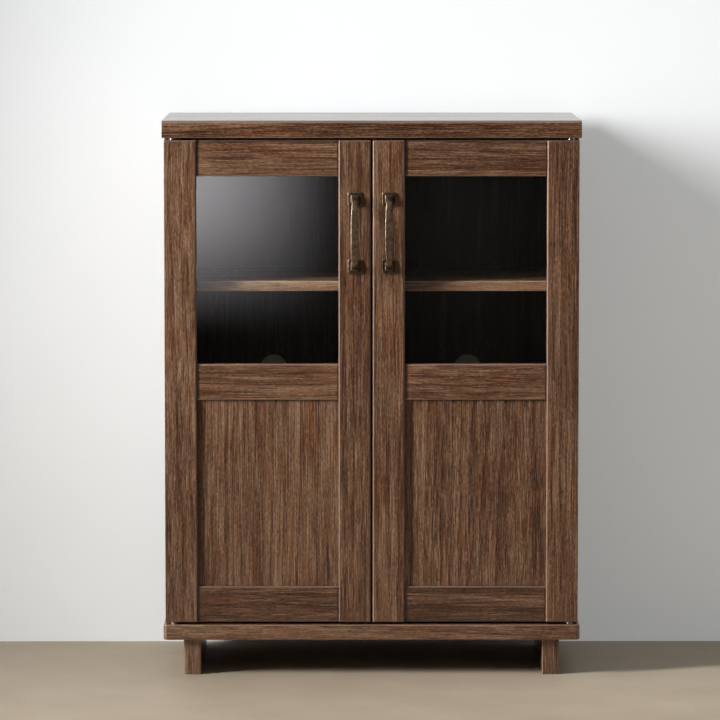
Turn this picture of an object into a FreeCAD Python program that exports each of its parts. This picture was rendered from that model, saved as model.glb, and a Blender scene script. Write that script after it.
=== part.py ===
"""Glass-front cabinet: a two-door case on plank feet, each door a frame with glass above and wood below.

Millimetres, +Z up, the doors face -Y. The origin is on the floor, at the middle of the bounding box.
Every length is a cell of the sheet Sizes, and every feature is bound to those cells by an expression.
"""
import FreeCAD, Part
import os
import re
import Sketcher

doc = FreeCAD.newDocument("glass_front_cabinet")

# Driving sizes
SIZES = {
    "width": 600,  # top and bottom boards, end to end
    "depth": 300,  # top and bottom boards, front to back
    "top_thick": 25,
    "bottom_thick": 22,
    "crown_radius": 5.5,  # upper front edge of the top board
    "corner_radius": 6.5,  # upright corners of the bottom board
    "ease_radius": 2,  # lower front edge of the top board, and the level edges of the bottom board
    "trim_radius": 0.8,  # ends and rear edges of the top board, which are left crisp
    "end_reveal": 3,  # doors and side panels stand in from the ends of the boards by this
    "foot_height": 52,
    "foot_thick": 25,
    "foot_inset": 29,  # from the end of the board to the outer face of a foot
    "foot_setback": 12,  # from the front and rear edges of the board
    "side_thick": 15,
    "partition_thick": 15,
    "shelf_thick": 15,
    "back_thick": 3,
    "back_inset": 10,  # from the rear edges of the boards to the back panel
    "back_groove": 6,  # depth of the grooves that hold the back panel
    "back_play": 1,  # room between the panel's edge and the bottom of its groove
    "cord_radius": 20,
    "cord_margin": 3,  # between a cord hole and the fixed shelf below it
    "door_height": 695,
    "door_gap": 3,  # above, below and between the doors
    "door_setback": 4,  # door faces behind the front edges of the boards
    "swing_margin": 0.77,  # between the case and the rear edge of a door as it swings past
    "stile_width": 46,
    "stile_thick": 20,
    "rail_width": 52,
    "rail_recess": 3,  # rail faces behind the stile faces
    "arris": 2.5,  # rounding of the front edges of stiles and rails
    "lip_radius": 0.8,  # of the doors' outermost front edges, which are left crisp
    "heel_radius": 3,  # rounding of the rear edge that swings past the side panel
    "panel_recess": 7,  # panel face behind the stile faces
    "panel_thick": 5,
    "glass_recess": 9,  # glass face behind the stile faces
    "glass_thick": 3,
    "groove_depth": 8,  # of the grooves and rebates inside the door frame
    "edge_play": 1,  # between panel or glass and the bottom of its groove
    "shelf_drop": 2.5,  # top of the fixed shelves below the middle rails
    "upper_shelf_rise": 157,  # underside of the upper shelves above the fixed ones
    "lower_shelf_rise": 146,  # underside of the lower shelves above the bottom board
    "shelf_setback": 10,  # shelf edges behind the front of the case
    "shelf_play": 1,  # at the ends of a movable shelf
    "shelf_rear_play": 2,
    "peg_radius": 2.5,
    "peg_web": 1,  # wood left in the partition between holes bored from both faces
    "peg_pitch": 32,
    "peg_column": 35,  # from the edges of a shelf to the two columns of pins
    "spade_reach": 9,
    "spade_width": 8,
    "spade_thick": 2,
    "dowel_radius": 4,
    "dowel_play": 0.1,  # room round a dowel, peg or screw in its hole
    "board_dowel": 12,  # depth of a dowel in the top and bottom boards
    "panel_dowel": 18,  # depth of a dowel in the end of a panel or shelf
    "frame_dowel": 20,  # depth of a dowel in stile and rail
    "dowel_share": 0.6,  # how far the two dowels of a rail are spread over the room they have
    "joint_inset": 40,  # outer row of fittings, from the front and rear edges of a panel
    "dowel_inset": 80,  # inner row, the dowels
    "cam_radius": 7.5,
    "cam_web": 3,  # wood left behind a cam
    "cam_setback": 24,  # centre of a cam below the top board
    "cam_play": 0.5,  # room round the head of a bolt inside its cam
    "bolt_radius": 3,
    "bolt_head_radius": 3.5,
    "bolt_head": 3,
    "bolt_thread_radius": 2.5,
    "bolt_thread": 11,
    "screw_radius": 2.5,
    "screw_head_radius": 5,
    "screw_sink": 4,  # height of a countersunk head
    "screw_length": 50,
    "foot_screw_inset": 60,  # from the front and rear edges of the boards
    "pivot_inset": 12,  # hinge axis from the outer edge of a door
    "pivot_share": 0.6,  # hinge axis in front of the back of a door, as a share of its thickness
    "pin_radius": 2.5,
    "pin_seat": 12,  # length of a pivot pin in its board
    "pin_tip_play": 2,  # between the tip of a pivot pin and the bottom of its hole
    "pin_fit": 0.05,  # running clearance between pin and bush
    "collar_radius": 4.5,
    "collar_play": 0.3,  # between the upper collar and the flange under it
    "bush_radius": 4,
    "bush_depth": 13,
    "flange_radius": 5,
    "handle_pitch": 96,  # between the two screws of a handle
    "handle_drop": 132.5,  # centre of a handle below the top of its door
    "handle_reach": 26,
    "base_width": 20,
    "base_height": 21,
    "base_thick": 1.8,
    "base_bevel": 1.2,
    "step_width": 13.5,
    "step_height": 14.5,
    "step_thick": 2,
    "step_bevel": 1,
    "bow_width": 10,  # at the middle of a handle
    "waist_share": 0.66,  # its width at the ends, as a share of that
    "bow_thick": 4.5,
    "bow_rise": 3,  # how far the bow arches
    "post_thick": 7.5,
    "shoulder_radius": 8,
    "handle_screw_radius": 2,
    "handle_screw_depth": 11,  # in the handle
    "pan_radius": 4,
    "pan_thick": 2.2,
    "catch_gap": 2.5,  # between a magnet catch and the partition
    "catch_width": 42,
    "catch_depth": 14,
    "catch_height": 15,
    "magnet_width": 22,
    "magnet_height": 7,
    "magnet_depth": 9,
    "catch_screw_radius": 1.5,
    "catch_screw_depth": 9,  # in the top board
    "catch_pan_radius": 3,
    "catch_pan_thick": 1.8,
    "strike_width": 24,
    "strike_height": 7,
    "strike_thick": 1.5,
    "strike_sink_radius": 3,
    "strike_screw_depth": 10,
}

# Positions worked out from the sizes
LAYOUT = {
    "board_end": "width / 2",
    "board_front": "(handle_reach - door_setback - depth) / 2",
    "board_back": "board_front + depth",
    "bottom_top": "foot_height + bottom_thick",
    "door_low": "bottom_top + door_gap",
    "door_high": "door_low + door_height",
    "top_under": "door_high + door_gap",
    "top_top": "top_under + top_thick",
    "foot_out": "board_end - foot_inset",
    "foot_in": "foot_out - foot_thick",
    "foot_mid": "foot_out - foot_thick / 2",
    "door_front": "board_front + door_setback",
    "door_back": "door_front + stile_thick",
    "pivot_depth": "stile_thick * pivot_share",
    "heel_arm": "sqrt((pivot_inset - heel_radius) ^ 2 + (pivot_depth - heel_radius) ^ 2)",
    "case_front": "door_back + heel_arm + heel_radius - pivot_depth + swing_margin",
    "side_out": "board_end - end_reveal",
    "side_mid": "side_out - side_thick / 2",
    "side_in": "side_out - side_thick",
    "partition_face": "partition_thick / 2",
    "back_rear": "board_back - back_inset",
    "back_front": "back_rear - back_thick",
    "bay_mid": "(side_in + partition_face) / 2",
    "cord_level": "fixed_top + cord_margin + cord_radius",
    "door_in": "door_gap / 2",
    "meeting_out": "door_in + stile_width",
    "hinge_in": "side_out - stile_width",
    "opening_height": "(door_height - 3 * rail_width) / 2",
    "bottom_rail_top": "door_low + rail_width",
    "mid_rail_low": "bottom_rail_top + opening_height",
    "mid_rail_top": "mid_rail_low + rail_width",
    "top_rail_low": "door_high - rail_width",
    "rail_front": "door_front + rail_recess",
    "rail_mid": "(rail_front + door_back) / 2",
    "panel_front": "door_front + panel_recess",
    "panel_back": "panel_front + panel_thick",
    "glass_front": "door_front + glass_recess",
    "glass_back": "glass_front + glass_thick",
    "tongue": "groove_depth - edge_play",
    "fixed_top": "mid_rail_low - shelf_drop",
    "fixed_low": "fixed_top - shelf_thick",
    "upper_low": "fixed_top + upper_shelf_rise",
    "lower_low": "bottom_top + lower_shelf_rise",
    "shelf_front": "case_front + shelf_setback",
    "shelf_back": "back_front - shelf_rear_play",
    "peg_depth": "(partition_thick - peg_web) / 2",
    "peg_front": "shelf_front + peg_column",
    "peg_rear": "shelf_back - peg_column",
    "joint_front": "case_front + joint_inset",
    "joint_rear": "back_front - joint_inset",
    "dowel_front": "case_front + dowel_inset",
    "dowel_rear": "back_front - dowel_inset",
    "foot_screw_front": "board_front + foot_screw_inset",
    "foot_screw_rear": "board_back - foot_screw_inset",
    "dowel_hole": "dowel_radius + dowel_play",
    "screw_bite": "screw_length - bottom_thick",
    "shelf_dowel_level": "fixed_low + shelf_thick / 2",
    "pin_bore": "pin_radius + pin_fit",
    "peg_hole": "peg_radius + dowel_play",
    "screw_hole": "screw_radius + dowel_play",
    "cam_level": "top_under - cam_setback",
    "cam_slot": "2 * (bolt_head_radius + cam_play)",
    "dowel_spread": "(rail_width / 2 - groove_depth - dowel_radius) * dowel_share",
    "flange_thick": "door_gap / 2",
    "pin_reach": "bush_depth - pin_tip_play",
    "pivot_x": "side_out - pivot_inset",
    "pivot_y": "door_back - pivot_depth",
    "handle_x": "door_in + stile_width / 2",
    "handle_z": "door_high - handle_drop",
    "handle_half": "handle_pitch / 2",
    "handle_end": "(handle_pitch + post_thick) / 2",
    "arch_radius": "(handle_end ^ 2 + bow_rise ^ 2) / (2 * bow_rise)",
    "bow_swell": "bow_width * (1 - waist_share) / 2",
    "swell_radius": "(handle_end ^ 2 + bow_swell ^ 2) / (2 * bow_swell)",
    "bow_end": "handle_end - shoulder_radius",
    "bow_drop": "arch_radius - sqrt(arch_radius ^ 2 - bow_end ^ 2)",
    "shoulder_level": "door_front - handle_reach + bow_drop + shoulder_radius",
    "base_top": "base_thick + base_bevel",
    "step_top": "base_top + step_thick + step_bevel",
    "strike_z": "top_under - catch_height / 2",
    "strike_back": "door_back + strike_thick",
    "catch_mid": "partition_face + catch_gap + catch_width / 2",
    "catch_screw_offset": "(catch_width + magnet_width) / 4",
    "catch_centre": "strike_back + catch_depth / 2",
}

sheet = doc.addObject("Spreadsheet::Sheet", "Sizes")
for row, (alias, value) in enumerate(SIZES.items(), start=1):
    sheet.set(f"A{row}", alias)
    sheet.set(f"B{row}", str(value))
    sheet.setAlias(f"B{row}", alias)
doc.recompute()

FINE = 1e-6
AXES = {
    "+x": FreeCAD.Vector(1, 0, 0),
    "-x": FreeCAD.Vector(-1, 0, 0),
    "+y": FreeCAD.Vector(0, 1, 0),
    "-y": FreeCAD.Vector(0, -1, 0),
    "+z": FreeCAD.Vector(0, 0, 1),
    "-z": FreeCAD.Vector(0, 0, -1),
}
SIDES = {"left": -1, "right": 1}
nodes = []


def formula(text):
    """Spell a position out until it names nothing but cells of the sheet."""
    def spell(match):
        word = match.group()
        if word in LAYOUT:
            return "(" + formula(LAYOUT[word]) + ")"
        return "Sizes." + word if word in SIZES else word
    return re.sub(r"[a-z][a-z_]*", spell, text)


def bind(thing, **texts):
    """Bind properties to formulas; a double underscore stands for a dot."""
    for name, text in texts.items():
        thing.setExpression(name.replace("__", "."), formula(text))


def place(thing, at, toward="+z"):
    """Turn a shape's own Z axis toward an axis of the cabinet and bind where it stands."""
    thing.Placement = FreeCAD.Placement(FreeCAD.Vector(), FreeCAD.Rotation(AXES["+z"], AXES[toward]))
    bind(thing, Placement__Base__x=at[0], Placement__Base__y=at[1], Placement__Base__z=at[2])


def across(sign, near, far):
    """The low and high X of something that lies between two distances from the middle."""
    return (near, far) if sign > 0 else (f"-({far})", f"-({near})")


def centred(middle, size):
    """Low and high planes about a middle."""
    return (f"({middle}) - ({size}) / 2", f"({middle}) + ({size}) / 2")


def outward(sign, distance):
    """An X at a distance from the middle, on the left or the right."""
    return distance if sign > 0 else f"-({distance})"


class Board:
    """A rectangular body whose cuts are given in the cabinet's own coordinates."""

    def __init__(self, label, x, y, z):
        self.body = doc.addObject("PartDesign::Body", label)
        self.body.Label = label
        self.low = (x[0], y[0], z[0])
        place(self.body, self.low)
        size_x, size_y, size_z = (f"({high}) - ({low})" for low, high in (x, y, z))
        outline = self.body.newObject("Sketcher::SketchObject", label + "_outline")
        ground = next(f for f in self.body.Origin.OriginFeatures if f.Role == "XY_Plane")
        outline.AttachmentSupport = [(ground, "")]
        outline.MapMode = "FlatFace"
        corners = [FreeCAD.Vector(*p) for p in ((0, 0), (1, 0), (1, 1), (0, 1))]
        for start, end in zip(corners, corners[1:] + corners[:1]):
            outline.addGeometry(Part.LineSegment(start, end))
        for line in range(4):
            outline.addConstraint(Sketcher.Constraint("Coincident", line, 2, (line + 1) % 4, 1))
            level = "Horizontal" if line % 2 == 0 else "Vertical"
            outline.addConstraint(Sketcher.Constraint(level, line))
        outline.addConstraint(Sketcher.Constraint("Coincident", 0, 1, -1, 1))
        length = outline.addConstraint(Sketcher.Constraint("DistanceX", 0, 1, 0, 2, 1.0))
        breadth = outline.addConstraint(Sketcher.Constraint("DistanceY", 1, 1, 1, 2, 1.0))
        outline.setExpression(f"Constraints[{length}]", formula(size_x))
        outline.setExpression(f"Constraints[{breadth}]", formula(size_y))
        pad = self.body.newObject("PartDesign::Pad", label + "_pad")
        pad.Profile = outline
        bind(pad, Length=size_z)
        nodes.append(self.body)

    def inside(self, at):
        """Cabinet coordinates turned into the body's own."""
        return [f"({place_}) - ({low})" for place_, low in zip(at, self.low)]

    def slot(self, x, y, z):
        """Cut a box out of the board."""
        cut = self.body.newObject("PartDesign::SubtractiveBox", self.body.Label + "_slot")
        for name, (low, high) in zip(("Length", "Width", "Height"), (x, y, z)):
            bind(cut, **{name: f"({high}) - ({low})"})
        place(cut, self.inside((x[0], y[0], z[0])))

    def hole(self, at, toward, radius, length):
        """Bore a round hole from a point along an axis."""
        cut = self.body.newObject("PartDesign::SubtractiveCylinder", self.body.Label + "_hole")
        bind(cut, Radius=radius, Height=length)
        place(cut, self.inside(at), toward)
        return cut

    def countersink(self, at, toward, wide, narrow, length):
        """Bore a cone from its wide end."""
        cut = self.body.newObject("PartDesign::SubtractiveCone", self.body.Label + "_sink")
        bind(cut, Radius1=wide, Radius2=narrow, Height=length)
        place(cut, self.inside(at), toward)

    def row(self, hole, axis, pitch, count):
        """Repeat the last hole along an axis of the board."""
        line = self.body.newObject("PartDesign::LinearPattern", self.body.Label + "_row")
        line.Originals = [hole]
        line.Direction = (next(f for f in self.body.Origin.OriginFeatures if f.Role == axis), [""])
        line.Mode = "Spacing"
        line.Occurrences = count
        bind(line, Offset=pitch)
        self.body.Tip = line

    def round(self, radius, chosen):
        """Round the edges whose bounding box, with the board's own, satisfies a test."""
        doc.recompute()
        base = self.body.Tip
        whole = base.Shape.BoundBox
        names = [
            f"Edge{number}"
            for number, edge in enumerate(base.Shape.Edges, start=1)
            if chosen(edge.BoundBox, whole)
        ]
        fillet = self.body.newObject("PartDesign::Fillet", self.body.Label + "_round")
        fillet.Base = (base, names)
        bind(fillet, Radius=radius)


def upright(edge, whole):
    return edge.ZLength > whole.ZLength - FINE


def on_top(edge, whole):
    return edge.ZMin > whole.ZMax - FINE


def underneath(edge, whole):
    return edge.ZMax < whole.ZMin + FINE


def in_front(edge, whole):
    return edge.YMax < whole.YMin + FINE


def outermost(edge, whole, sign):
    return edge.XMax < whole.XMin + FINE if sign < 0 else edge.XMin > whole.XMax - FINE


def upper_front(edge, whole):
    return in_front(edge, whole) and on_top(edge, whole)


def lower_front(edge, whole):
    return in_front(edge, whole) and underneath(edge, whole)


def ends_and_rear(edge, whole):
    return outermost(edge, whole, -1) or outermost(edge, whole, 1) or edge.YMin > whole.YMax - FINE


def at_heel(sign):
    """The upright rear edge of a board, on its outer side."""
    def chosen(edge, whole):
        return outermost(edge, whole, sign) and edge.YMin > whole.YMax - FINE and upright(edge, whole)
    return chosen


def at_lip(sign):
    """The front edge of a board on its outer side."""
    def chosen(edge, whole):
        return in_front(edge, whole) and outermost(edge, whole, sign)
    return chosen


def in_front_but_lip(sign):
    """The front edges of a board except that on its outer side."""
    def chosen(edge, whole):
        return in_front(edge, whole) and not outermost(edge, whole, sign)
    return chosen


def box(name, x, y, z):
    """A plain block between low and high planes."""
    block = doc.addObject("Part::Box", name)
    for side, (low, high) in zip(("Length", "Width", "Height"), (x, y, z)):
        bind(block, **{side: f"({high}) - ({low})"})
    place(block, (x[0], y[0], z[0]))
    return block


def rod(name, at, toward, radius, length):
    """A round bar from a point along an axis."""
    bar = doc.addObject("Part::Cylinder", name)
    bind(bar, Radius=radius, Height=length)
    place(bar, at, toward)
    return bar


def cone(name, at, toward, wide, narrow, length):
    """A round taper from its first end along an axis."""
    taper = doc.addObject("Part::Cone", name)
    bind(taper, Radius1=wide, Radius2=narrow, Height=length)
    place(taper, at, toward)
    return taper


def fuse(name, shapes):
    """Join shapes that touch into one solid."""
    joined = doc.addObject("Part::MultiFuse", name)
    joined.Shapes = shapes
    joined.Refine = True
    return joined


def cut(name, base, tool):
    """Take one shape out of another."""
    rest = doc.addObject("Part::Cut", name)
    rest.Base = base
    rest.Tool = tool
    return rest


def common(name, shapes):
    """Keep what shapes share."""
    shared = doc.addObject("Part::MultiCommon", name)
    shared.Shapes = shapes
    return shared


def keep(label, thing):
    """Hand a shape over as a node of its own."""
    thing.Label = label
    nodes.append(thing)
    return thing


def group(label, solids):
    """Hand equal fittings over as one node of separate solids."""
    several = doc.addObject("Part::Compound", label)
    several.Links = solids
    return keep(label, several)


def moved(text, step, sign=1):
    """A coordinate shifted by a distance."""
    return f"({text}) + ({step})" if sign > 0 else f"({text}) - ({step})"


# Panels that stand between the boards: where each one's fittings are, and which way they face
UPRIGHTS = {
    "left_side_panel": {"mid": "-(side_mid)", "inner": "-(side_in)", "into": "-x", "thick": "side_thick"},
    "centre_partition": {"mid": "0", "inner": "-(partition_face)", "into": "+x", "thick": "partition_thick"},
    "right_side_panel": {"mid": "side_mid", "inner": "side_in", "into": "+x", "thick": "side_thick"},
}
JOINT_ROWS = ("joint_front", "joint_rear")
DOWEL_ROWS = ("dowel_front", "dowel_rear")
PEG_COLUMNS = ("peg_front", "peg_rear")
FOOT_SCREW_ROWS = ("foot_screw_front", "foot_screw_rear")
PEG_HOLES = 3
SHELF_LEVELS = {"upper": "upper_low", "lower": "lower_low"}
BOARD_SPAN = ("-(board_end)", "board_end")
BOARD_PLANES = ("board_front", "board_back")
CASE_LEVELS = ("bottom_top", "top_under")
BACK_SPAN = ("-(side_in + back_groove)", "side_in + back_groove")
BACK_PLANES = ("back_front", "back_rear")
CATCH_SCREWS = ("catch_mid - catch_screw_offset", "catch_mid + catch_screw_offset")
OPPOSITE = {"+x": "-x", "-x": "+x", "+z": "-z", "-z": "+z"}


# Top board, with the groove for the back panel and the holes for its fittings. Its front is rounded.
top = Board("top_board", BOARD_SPAN, BOARD_PLANES, ("top_under", "top_top"))
top.round("crown_radius", upper_front)
top.round("ease_radius", lower_front)
top.round("trim_radius", ends_and_rear)
top.slot(BACK_SPAN, BACK_PLANES, ("top_under", "top_under + back_groove"))
for spot in UPRIGHTS.values():
    for y in JOINT_ROWS:
        top.hole((spot["mid"], y, "top_under"), "+z", "bolt_thread_radius + dowel_play", "bolt_thread")
    for y in DOWEL_ROWS:
        top.hole((spot["mid"], y, "top_under"), "+z", "dowel_hole", "board_dowel")
for sign in SIDES.values():
    top.hole((outward(sign, "pivot_x"), "pivot_y", "top_under"), "+z", "pin_bore", "pin_seat")
    for offset in CATCH_SCREWS:
        at = (outward(sign, offset), "catch_centre", "top_under")
        top.hole(at, "+z", "catch_screw_radius + dowel_play", "catch_screw_depth")

# Bottom board, bored for the screws that come up into the panels and go down into the feet. Its corners
# are rounded, and then its edges all round.
bottom = Board("bottom_board", BOARD_SPAN, BOARD_PLANES, ("foot_height", "bottom_top"))
bottom.round("corner_radius", upright)
bottom.round("ease_radius", on_top)
bottom.round("ease_radius", underneath)
bottom.slot(BACK_SPAN, BACK_PLANES, ("bottom_top - back_groove", "bottom_top"))
for spot in UPRIGHTS.values():
    for y in JOINT_ROWS:
        at = (spot["mid"], y, "foot_height")
        bottom.hole(at, "+z", "screw_hole", "bottom_thick")
        bottom.countersink(at, "+z", "screw_head_radius", "screw_radius", "screw_sink")
    for y in DOWEL_ROWS:
        bottom.hole((spot["mid"], y, "bottom_top"), "-z", "dowel_hole", "board_dowel")
for sign in SIDES.values():
    bottom.hole((outward(sign, "pivot_x"), "pivot_y", "bottom_top"), "-z", "pin_bore", "pin_seat")
    for y in FOOT_SCREW_ROWS:
        at = (outward(sign, "foot_mid"), y, "bottom_top")
        bottom.hole(at, "-z", "screw_hole", "bottom_thick")
        bottom.countersink(at, "-z", "screw_head_radius", "screw_radius", "screw_sink")


def bore_upright(panel, spot, peg_faces):
    """Bore a panel for its cams, bolts, dowels, screws, shelf dowels and shelf pins."""
    for y in JOINT_ROWS:
        panel.hole((spot["mid"], y, "top_under"), "-z", "bolt_head_radius + dowel_play", "cam_setback")
        cam_depth = f"{spot['thick']} - cam_web"
        panel.hole((spot["inner"], y, "cam_level"), spot["into"], "cam_radius + dowel_play", cam_depth)
        panel.hole((spot["mid"], y, "bottom_top"), "+z", "screw_hole", "screw_bite")
    for y in DOWEL_ROWS:
        panel.hole((spot["mid"], y, "top_under"), "-z", "dowel_hole", "panel_dowel")
        panel.hole((spot["mid"], y, "bottom_top"), "+z", "dowel_hole", "panel_dowel")
    for face, into in peg_faces:
        for y in DOWEL_ROWS:
            panel.hole((face, y, "shelf_dowel_level"), into, "dowel_hole", "peg_depth")
        for y in PEG_COLUMNS:
            for level in SHELF_LEVELS.values():
                at = (face, y, f"{level} - peg_radius - peg_pitch")
                lowest = panel.hole(at, into, "peg_hole", "peg_depth")
                panel.row(lowest, "Z_Axis", "peg_pitch", PEG_HOLES)


# Side panels and the partition between them
for side, sign in SIDES.items():
    label = f"{side}_side_panel"
    spot = UPRIGHTS[label]
    panel = Board(label, across(sign, "side_in", "side_out"), ("case_front", "board_back"), CASE_LEVELS)
    panel.slot(across(sign, "side_in", "side_in + back_groove"), BACK_PLANES, CASE_LEVELS)
    bore_upright(panel, spot, [(spot["inner"], spot["into"])])
partition_faces = ("-(partition_face)", "partition_face")
partition = Board("centre_partition", partition_faces, ("case_front", "back_front"), CASE_LEVELS)
bore_upright(partition, UPRIGHTS["centre_partition"], zip(partition_faces, ("+x", "-x")))

# Back panel, held in grooves all round, with a cord hole in each half
back = Board(
    "back_panel",
    ("-(side_in + back_groove - back_play)", "side_in + back_groove - back_play"),
    BACK_PLANES,
    ("bottom_top - back_groove + back_play", "top_under + back_groove - back_play"),
)
for sign in SIDES.values():
    back.hole((outward(sign, "bay_mid"), "back_front", "cord_level"), "+y", "cord_radius", "back_thick")

# Shelves: one fixed on dowels and two that lie on pins, in each half
for side, sign in SIDES.items():
    fixed = Board(
        f"{side}_fixed_shelf",
        across(sign, "partition_face", "side_in"),
        ("shelf_front", "back_front"),
        ("fixed_low", "fixed_top"),
    )
    for face, along in (("partition_face", 1), ("side_in", -1)):
        toward = "+x" if sign * along > 0 else "-x"
        for y in DOWEL_ROWS:
            at = (outward(sign, face), y, "shelf_dowel_level")
            fixed.hole(at, toward, "dowel_hole", "panel_dowel")
    for name, level in SHELF_LEVELS.items():
        Board(
            f"{side}_{name}_shelf",
            across(sign, "partition_face + shelf_play", "side_in - shelf_play"),
            ("shelf_front", "shelf_back"),
            (level, f"{level} + shelf_thick"),
        ).round("arris", in_front)

# Feet: planks on edge, front to back
for side, sign in SIDES.items():
    foot = Board(
        f"{side}_foot",
        across(sign, "foot_in", "foot_out"),
        ("board_front + foot_setback", "board_back - foot_setback"),
        ("0", "foot_height"),
    )
    foot.round("arris", upright)
    for y in FOOT_SCREW_ROWS:
        foot.hole((outward(sign, "foot_mid"), y, "foot_height"), "-z", "screw_hole", "screw_bite")

# Fittings of the case
group("case_dowels", [
    rod("case_dowel", (spot["mid"], y, start), "+z", "dowel_radius", "board_dowel + panel_dowel")
    for spot in UPRIGHTS.values()
    for y in DOWEL_ROWS
    for start in ("bottom_top - board_dowel", "top_under - panel_dowel")
])
group("shelf_dowels", [
    rod(
        "shelf_dowel",
        (outward(sign, start), y, "shelf_dowel_level"),
        "+x" if sign > 0 else "-x",
        "dowel_radius",
        "peg_depth + panel_dowel",
    )
    for sign in SIDES.values()
    for y in DOWEL_ROWS
    for start in ("partition_face - peg_depth", "side_in - panel_dowel")
])


def cam_lock(spot, y):
    """A cam disc, slotted from above to take the head of its bolt."""
    at = (spot["inner"], y, "cam_level")
    disc = rod("cam_disc", at, spot["into"], "cam_radius", f"{spot['thick']} - cam_web")
    reach = (f"({spot['mid']}) - cam_slot / 2", f"({spot['mid']}) + cam_slot / 2")
    mouth = (moved(y, "cam_slot / 2", -1), moved(y, "cam_slot / 2"))
    slot = box("cam_slot_cut", reach, mouth, ("cam_level - cam_slot / 2", "cam_level + cam_radius"))
    return cut("cam_lock", disc, slot)


def cam_bolt(spot, y):
    """A bolt screwed into the top board, with a head that its cam draws down."""
    thread = rod("bolt_thread", (spot["mid"], y, "top_under"), "+z", "bolt_thread_radius", "bolt_thread")
    shank = rod("bolt_shank", (spot["mid"], y, "cam_level"), "+z", "bolt_radius", "cam_setback")
    head_at = (spot["mid"], y, "cam_level - bolt_head / 2")
    head = rod("bolt_head", head_at, "+z", "bolt_head_radius", "bolt_head")
    return fuse("cam_bolt", [thread, shank, head])


group("cam_locks", [cam_lock(spot, y) for spot in UPRIGHTS.values() for y in JOINT_ROWS])
group("cam_bolts", [cam_bolt(spot, y) for spot in UPRIGHTS.values() for y in JOINT_ROWS])


def wood_screw(at, toward):
    """A countersunk screw, from the face of its head along its axis."""
    head = cone("screw_head", at, toward, "screw_head_radius", "screw_radius", "screw_sink")
    shank = rod("screw_shank", at, toward, "screw_radius", "screw_length")
    return fuse("wood_screw", [head, shank])


group("panel_screws", [
    wood_screw((spot["mid"], y, "foot_height"), "+z") for spot in UPRIGHTS.values() for y in JOINT_ROWS
])
group("foot_screws", [
    wood_screw((outward(sign, "foot_mid"), y, "bottom_top"), "-z")
    for sign in SIDES.values()
    for y in FOOT_SCREW_ROWS
])


def shelf_pin(face, away, y, level):
    """A pin with a flat spade under the shelf; away is +1 where the shelf lies to its right."""
    toward = "+x" if away > 0 else "-x"
    start = moved(face, "peg_depth", -away)
    peg = rod("peg", (start, y, f"{level} - peg_radius"), toward, "peg_radius", "peg_depth + spade_thick")
    ends = (face, moved(face, "spade_reach", away))
    mouth = (moved(y, "spade_width / 2", -1), moved(y, "spade_width / 2"))
    spade = box("spade", ends[::away], mouth, (f"{level} - spade_thick", level))
    return fuse("shelf_pin", [peg, spade])


for side, sign in SIDES.items():
    faces = ((outward(sign, "partition_face"), sign), (outward(sign, "side_in"), -sign))
    group(f"{side}_shelf_pins", [
        shelf_pin(face, away, y, level)
        for face, away in faces
        for y in PEG_COLUMNS
        for level in SHELF_LEVELS.values()
    ])


def pivot_pin(x, joint, into):
    """A pin pressed into a board, with a collar in the gap between board and door."""
    out = OPPOSITE[into]
    seat = rod("pin_seat", (x, "pivot_y", joint), into, "pin_radius", "pin_seat")
    thick = "door_gap - flange_thick" if into == "-z" else "door_gap - flange_thick - collar_play"
    collar = rod("pin_collar", (x, "pivot_y", joint), out, "collar_radius", thick)
    tip = rod("pin_tip", (x, "pivot_y", joint), out, "pin_radius", "door_gap + pin_reach")
    return fuse("pivot_pin", [seat, collar, tip])


for side, sign in SIDES.items():
    x = outward(sign, "pivot_x")
    group(f"{side}_pivot_pins", [pivot_pin(x, "bottom_top", "-z"), pivot_pin(x, "top_under", "+z")])

# Magnet catches under the top board, beside the partition
CATCH_PLANES = ("strike_back", "strike_back + catch_depth")
MAGNET_PLANES = ("strike_back", "strike_back + magnet_depth")
CATCH_SHANK = "catch_height + catch_screw_depth"
for side, sign in SIDES.items():
    levels = ("top_under - catch_height", "top_under")
    middle = outward(sign, "catch_mid")
    magnet_x = centred(middle, "magnet_width")
    magnet_z = centred("strike_z", "magnet_height")
    screw_x = [outward(sign, offset) for offset in CATCH_SCREWS]
    catch = Board(f"{side}_catch", centred(middle, "catch_width"), CATCH_PLANES, levels)
    catch.slot(magnet_x, MAGNET_PLANES, magnet_z)
    for x in screw_x:
        catch.hole((x, "catch_centre", levels[0]), "+z", "catch_screw_radius + dowel_play", "catch_height")
    keep(f"{side}_catch_magnet", box("magnet", magnet_x, MAGNET_PLANES, magnet_z))
    group(f"{side}_catch_screws", [
        fuse("catch_screw", [
            rod("catch_pan", (x, "catch_centre", levels[0]), "-z", "catch_pan_radius", "catch_pan_thick"),
            rod("catch_shank", (x, "catch_centre", levels[0]), "+z", "catch_screw_radius", CATCH_SHANK),
        ])
        for x in screw_x
    ])

# Doors
PANEL_PLANES = ("panel_front", "panel_back")
REBATE_PLANES = ("glass_front", "door_back")
BEAD_PLANES = ("glass_back", "door_back")
RAILS = {
    "top_rail": {"levels": ("top_rail_low", "door_high"), "above": None, "below": REBATE_PLANES},
    "mid_rail": {"levels": ("mid_rail_low", "mid_rail_top"), "above": REBATE_PLANES, "below": PANEL_PLANES},
    "bottom_rail": {"levels": ("door_low", "bottom_rail_top"), "above": PANEL_PLANES, "below": None},
}
PANEL_LEVELS = ("bottom_rail_top - groove_depth", "mid_rail_low + groove_depth")
GLASS_LEVELS = ("mid_rail_top - groove_depth", "top_rail_low + groove_depth")


def rail_dowels(rail):
    """The heights of the two dowels at each end of a rail."""
    low = RAILS[rail]["levels"][0]
    return [f"{low} + rail_width / 2 {turn} dowel_spread" for turn in "-+"]


def frame_dowels():
    """The height of every dowel in a door's frame."""
    return [z for rail in RAILS for z in rail_dowels(rail)]


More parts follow.
